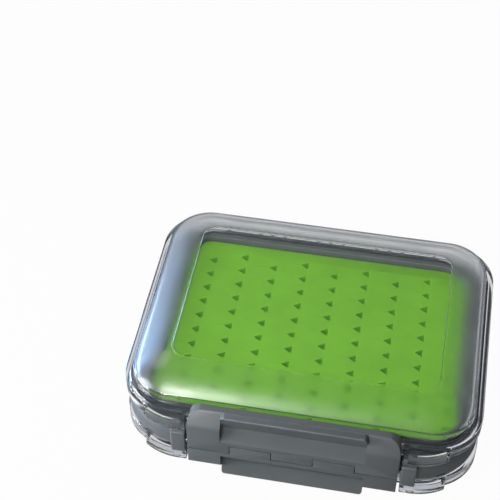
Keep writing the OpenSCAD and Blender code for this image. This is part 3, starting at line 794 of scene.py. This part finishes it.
def flap_mesh(s, own, other, edge):
    """A flap about the latch pin, which owns the knuckles of its set."""
    slope = s.slope_y - s.barrel_r
    back = s.plate_t - s.barrel_r
    pocket_z = s.hook_z - s.pocket_h
    ledge_z = pocket_z - s.ledge_h
    knuckles = [(-s.half_l if i == 0 else (i - 2.5) * s.knuckle_l + s.side_gap,
                 s.half_l if i == 4 else (i - 1.5) * s.knuckle_l - s.side_gap) for i in range(5)]

    # Section across the flap: rounded slope, hook, ledge and plate
    points = [(-s.barrel_r, -s.knuckle_h), (-s.barrel_r, s.slope_z), (slope, s.top_z), (s.hook_y, s.top_z),
              (s.hook_y, s.hook_z), (s.barrel_r, s.hook_z), (s.barrel_r, ledge_z),
              (back, ledge_z - s.barrel_r + back), (back, -s.knuckle_h)]
    radii = [r * MM for r in (0, 3, 0.9, 0.3, 0.2, 0.2, 0.2, 0.5, 0)]
    section = prism(eased(points, radii), "x", -s.half_l - MM, s.half_l + MM, "flap")

    # Front view: battlement of knuckles below, rounded corners above
    small = 0.25 * MM
    notch_z = math.sqrt(s.relief_r ** 2 - s.barrel_r ** 2) + small
    outline, round_by = [(s.half_l, s.top_z), (-s.half_l, s.top_z)], [s.corner_r, s.corner_r]
    for i, (x0, x1) in enumerate(knuckles):
        if i in own:
            outline += [(x0, -s.knuckle_h), (x1, -s.knuckle_h)]
        else:
            outline += [(max(x0 - s.room_gap, -s.half_l), notch_z), (min(x1 + s.room_gap, s.half_l), notch_z)]
        round_by += [small, small]
    through = 3 * s.hook_y
    front = prism(eased(outline, round_by), "y", -through, through, "front")
    mesh = edged(joined(section, [front], "INTERSECT"), edge, fine_below=notch_z + 2 * small)

    # Lip over the finger scoop
    lip_y, lip_z = s.grip_in - s.barrel_r, s.slope_z + 0.7 * MM
    top, half = s.top_z + s.lip_rise, s.grip_w / 2
    points = [(lip_y, lip_z), (lip_y, top), (lip_y + s.lip_t, top - 0.1 * MM), (s.barrel_r, s.top_z - 0.3 * MM),
              (s.barrel_r, lip_z)]
    lip = prism(eased(points, [0, 0.35 * MM, 0.6 * MM, 0, 0]), "x", -s.grip_w, s.grip_w, "lip")
    view = prism(eased([(-half, 0), (half, 0), (half, top), (-half, top)], [0, 0, s.lip_r, s.lip_r], 8), "y",
                 -through, through, "view")
    lip = edged(joined(lip, [view], "INTERSECT"), edge * 0.8, 50)
    # The grip runs in to its deepest line and leans out again to the lip
    high, ahead, deep, steps = top - 0.55 * MM, -2 * s.barrel_r, lip_y + s.scoop_d, 9
    grip = [(-s.barrel_r + (deep + s.barrel_r) * (i / steps) ** 0.85,
             s.grip_z + (s.scoop_z - s.grip_z) * i / steps) for i in range(steps + 1)]
    grip += [(deep - s.scoop_d * (i / steps) ** 1.15, s.scoop_z + (high - s.scoop_z) * i / steps)
             for i in range(1, steps + 1)]
    cuts = [prism([(ahead, s.grip_z), *grip, (lip_y, top + MM), (ahead, top + MM)], "x", -half, half, "scoop")]
    floor, far = back + s.pocket_in, 2 * s.hook_y
    cuts += [prism([(floor, pocket_z), (far, pocket_z), (far, s.hook_z), (floor, s.hook_z)], "x",
                   *span(side * s.pocket_x, s.pocket_l), "pocket") for side in (-1, 1)]
    cuts.append(prism(circle(0, s.mark_z, s.mark_r), "y", back - s.mark_depth, back + MM, "mark"))
    mesh = joined(joined(mesh, [lip], "UNION"), cuts, "DIFFERENCE")
    # Barrels a hair smaller than the plate's front, so that no two faces coincide
    radius = s.barrel_r - 0.003 * MM
    barrels = [prism(circle(0, 0, radius, 48), "x", *knuckles[i], "barrel", edge=0.15 * MM) for i in own]
    mesh = joined(mesh, barrels, "UNION")
    cuts = [prism(circle(0, 0, s.relief_r, 48), "x", knuckles[i][0] - s.room_gap, knuckles[i][1] + s.room_gap,
                  "relief") for i in other]
    cuts.append(prism(circle(0, 0, s.bore_r, 24), "x", -2 * s.half_l, 2 * s.half_l, "bore"))
    mesh = joined(mesh, cuts, "DIFFERENCE")
    shade(mesh)
    return mesh


# ---- Inserts ----


def insert_mesh(s, f, n):
    """A silicone sheet with its staggered slits, each opening from a notch that deepens towards its base."""
    low, top = f.web_t / 2, f.web_t / 2 + n.thick
    edge, bend, inset = 0.35 * MM, 0.1 * MM, f.tray_inset + n.gap
    rings = [rim_ring(s, inset + more, s.rim_r - inset - more, z)
             for more, z in ((0, low), (0, top - edge), (bend, top - bend), (edge, top))]
    sheet = loft(rings, [0] * len(rings), "sheet", ())
    bm = bmesh.new()
    for c in range(n.columns):
        for r in range(n.rows):
            x = (c - (n.columns - 1) / 2) * n.column_pitch + (n.notch_l + n.slit_l) / 2 - n.notch_l / 6
            y = n.field_y + ((n.rows - 1) / 2 - r + (-0.25 if c % 2 == 0 else 0.25)) * n.row_pitch
            notch_cut(bm, n, x, y, top)
    bmesh.ops.recalc_face_normals(bm, faces=bm.faces)
    mesh = joined(sheet, [finished(bm, "notches")], "DIFFERENCE")
    shade(mesh, 40)
    return mesh


def notch_cut(bm, n, x, y, top):
    """Adds the space of one notch and its slit, drawn as rings from its floor to its flared mouth."""
    rows, corner, half = [], 0.28 * MM, n.slit_w / 2
    for depth, spread in ((1, 0.72), (0.5, 0.9), (0.12, 1), (0.02, 1.06), (-0.3, 1.3)):
        base, side, tip = n.notch_l / 2 * spread ** 0.5, n.notch_w / 2 * spread, n.notch_l / 2 * spread
        # One side of the notch from its base to the slit's end, then the other side back
        right = [(base, side - corner), (base - corner * 0.4, side - corner * 0.2),
                 (base - corner * 1.3, side - corner * 0.2), (-tip, half), (-tip - n.slit_l, half)]
        left = [(px, -py) for px, py in reversed(right)]
        rows.append([bm.verts.new((x + px, y + py, top - n.notch_d * depth)) for px, py in right + left])
    count = len(rows[0])
    for a, b in zip(rows, rows[1:]):
        for i in range(count):
            j = (i + 1) % count
            bm.faces.new((a[i], a[j], b[j], b[i]))
    bm.faces.new(rows[0])
    bm.faces.new(rows[-1])


# ---- Operators, one for each group of pieces ----


class FLYBOX_OT_stage(Operator):
    """Sets up the camera, the pale floor and the soft studio lamps"""

    bl_idname = "fly_box.stage"
    bl_label = "Stage"

    def execute(self, context):
        scene, s = context.scene, context.scene.fly_box_stage
        scene.view_settings.view_transform = "Standard"
        data = bpy.data.cameras.new("camera")
        data.lens, data.sensor_width = s.lens, s.sensor
        data.clip_start, data.clip_end = 0.01, 20
        scene.camera = linked(data, "camera")
        turn = Matrix((CAMERA_RIGHT, CAMERA_UP, CAMERA_RIGHT.cross(CAMERA_UP))).transposed().to_4x4()
        scene.camera.matrix_world = Matrix.Translation(s.camera) @ turn

        bm = bmesh.new()
        bmesh.ops.create_grid(bm, x_segments=1, y_segments=1, size=3)
        floor = linked(finished(bm, "floor"), "floor")
        give(floor, self.floor_material(s.floor_white))

        scene.world = bpy.data.worlds.new("world")
        scene.world.use_nodes = True
        tree = scene.world.node_tree
        feed(tree, tree.nodes["Background"], {"Color": (0.95, 0.98, 1, 1), "Strength": s.ambient})

        for name, place, size, colour in LAMPS:
            lamp = self.lamp(name, place, size, getattr(s, name), colour)
            lamp.visible_glossy = lamp.visible_transmission = name != "front"
            lamp.visible_diffuse = name != "gleam"
        return {"FINISHED"}

    def floor_material(self, white):
        """Pale floor that shows part of its colour as plain white, and keeps the shadow in the rest."""
        made, tree, shader, output = material("floor")
        feed(tree, shader, {"Base Color": (0.42, 0.42, 0.42, 1), "Roughness": 0.9, "Specular IOR Level": 0.1})
        path = node(tree, "LightPath").outputs
        seen = node(tree, "Math", {0: path["Is Camera Ray"], 1: path["Is Transmission Ray"]}, operation="MAXIMUM")
        part = node(tree, "Math", {0: seen.outputs[0], 1: white}, operation="MULTIPLY")
        mixed(tree, part, shader, node(tree, "Emission"), output)
        return made

    def lamp(self, name, place, size, power, colour):
        """A square soft lamp that looks at the middle of the case."""
        data = bpy.data.lights.new(name, "AREA")
        data.size, data.energy, data.color = size, power, colour
        lamp = linked(data, name)
        lamp.location = place
        towards = Vector((0, 0, MIDDLE_Z)) - lamp.location
        lamp.rotation_euler = towards.to_track_quat("-Z", "Y").to_euler()
        return lamp


class FLYBOX_OT_lids(Operator):
    """Builds the two clear lids with their polished window, satin border, lugs and hinge knuckles"""

    bl_idname = "fly_box.lids"
    bl_label = "Lids"

    def execute(self, context):
        s, f = context.scene.fly_box_lid, context.scene.fly_box_finish
        clear = clear_material("clear_polished", f.clear, f.polish)
        satin = clear_material("clear_satin", f.clear_border, f.satin, through=0.85)
        # The walls, skirt and lugs get the darker tint, which paints the shade seen through them.
        wall = clear_material("clear_wall", f.clear_wall, f.polish * 2, through=0.75)
        mesh = lid_mesh(s, (clear, satin, wall))
        for name, lower in (("upper_lid", False), ("lower_lid", True)):
            lid = placed(mesh.copy(), name + "_shell", lower)
            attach(lid, name)
            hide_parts(name)
        return {"FINISHED"}


class FLYBOX_OT_frame(Operator):
    """Rounds and dresses the grey frame"""

    bl_idname = "fly_box.frame"
    bl_label = "Frame"

    def execute(self, context):
        scene = context.scene
        f = scene.fly_box_finish
        made = moulded("grey_moulding", f.grey, roughness=0.42, grain=2600, depth=0.03 * MM, wear=0.45)
        mesh = frame_mesh(scene.fly_box_lid, scene.fly_box_frame, scene.fly_box_latch, f.edge)
        body = placed(mesh, "frame_moulding")
        give(body, made)
        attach(body, "frame")
        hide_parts("frame")
        return {"FINISHED"}


class FLYBOX_OT_latches(Operator):
    """Rounds and dresses the two latch flaps"""

    bl_idname = "fly_box.latches"
    bl_label = "Latch flaps"

    def execute(self, context):
        s, f = context.scene.fly_box_latch, context.scene.fly_box_finish
        for name, lower, own, other in (("upper_latch", False, (0, 2, 4), (1, 3)),
                                        ("lower_latch", True, (1, 3), (0, 2, 4))):
            mesh = flap_mesh(s, own, other, f.edge)
            mesh.transform(Matrix.Translation((0, s.barrel_r - s.front, 0)))
            flap = placed(mesh, name + "_flap", lower)
            give(flap, bpy.data.materials["grey_moulding"])
            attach(flap, name)
            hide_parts(name)
        return {"FINISHED"}


class FLYBOX_OT_inserts(Operator):
    """Builds the two slit silicone inserts"""

    bl_idname = "fly_box.inserts"
    bl_label = "Inserts"

    def execute(self, context):
        scene = context.scene
        made = moulded("silicone", scene.fly_box_finish.green, roughness=0.5, grain=1500, depth=0.02 * MM)
        tree = made.node_tree
        feed(tree, tree.nodes["Principled BSDF"], {
            "Specular IOR Level": 0.25, "Subsurface Weight": 0.15, "Subsurface Radius": (0.5, 1.0, 0.3),
            "Subsurface Scale": 1.2 * MM})
        mesh = insert_mesh(scene.fly_box_lid, scene.fly_box_frame, scene.fly_box_insert)
        for name, lower in (("upper_insert", False), ("lower_insert", True)):
            turned = mesh.copy()
            if lower:
                turned.transform(Matrix.Rotation(math.pi, 4, "Y"))
            sheet = placed(turned, name + "_sheet")
            give(sheet, made)
            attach(sheet, "frame")
            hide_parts(name)
        return {"FINISHED"}


class FLYBOX_OT_gaskets(Operator):
    """Dresses the two gaskets"""

    bl_idname = "fly_box.gaskets"
    bl_label = "Gaskets"

    def execute(self, context):
        colour = context.scene.fly_box_finish.seal
        made = moulded("seal", colour, roughness=0.6, grain=1500, depth=0.02 * MM, spread=0.2)
        for name in ("upper_gasket", "lower_gasket"):
            give(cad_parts[name], made)
        return {"FINISHED"}


class FLYBOX_OT_pins(Operator):
    """Dresses the steel pins of the hinges and the latch"""

    bl_idname = "fly_box.pins"
    bl_label = "Pins"

    def execute(self, context):
        colour = context.scene.fly_box_finish.steel
        made = moulded("drawn_steel", colour, roughness=0.28, grain=4000, depth=0.01 * MM)
        made.node_tree.nodes["Principled BSDF"].inputs["Metallic"].default_value = 1
        for name in ("upper_hinge_pin", "lower_hinge_pin", "latch_pin"):
            give(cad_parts[name], made)
        return {"FINISHED"}


class FLYBOX_PT_panel(Panel):
    """Lists the groups of pieces in the order in which they are made"""

    bl_label = "Fly Box"
    bl_space_type = "VIEW_3D"
    bl_region_type = "UI"
    bl_category = "Fly Box"

    def draw(self, context):
        for operator in OPERATORS:
            self.layout.operator(operator.bl_idname)


OPERATORS = (FLYBOX_OT_stage, FLYBOX_OT_frame, FLYBOX_OT_latches, FLYBOX_OT_inserts, FLYBOX_OT_gaskets,
             FLYBOX_OT_pins, FLYBOX_OT_lids)
CLASSES = (LidSizes, FrameSizes, InsertSizes, LatchSizes, Finishes, StageSettings, *OPERATORS, FLYBOX_PT_panel)
SETTINGS = (("fly_box_lid", LidSizes), ("fly_box_frame", FrameSizes), ("fly_box_insert", InsertSizes),
            ("fly_box_latch", LatchSizes), ("fly_box_finish", Finishes), ("fly_box_stage", StageSettings))


def register():
    for cls in CLASSES:
        bpy.utils.register_class(cls)
    for name, settings in SETTINGS:
        setattr(bpy.types.Scene, name, PointerProperty(type=settings))


def unregister():
    for name, _ in SETTINGS:
        delattr(bpy.types.Scene, name)
    for cls in reversed(CLASSES):
        bpy.utils.unregister_class(cls)


def main():
    """Makes the whole model."""
    register()
    for operator in OPERATORS:
        family, name = operator.bl_idname.split(".")
        getattr(getattr(bpy.ops, family), name)()


if __name__ == "__main__":
    main()
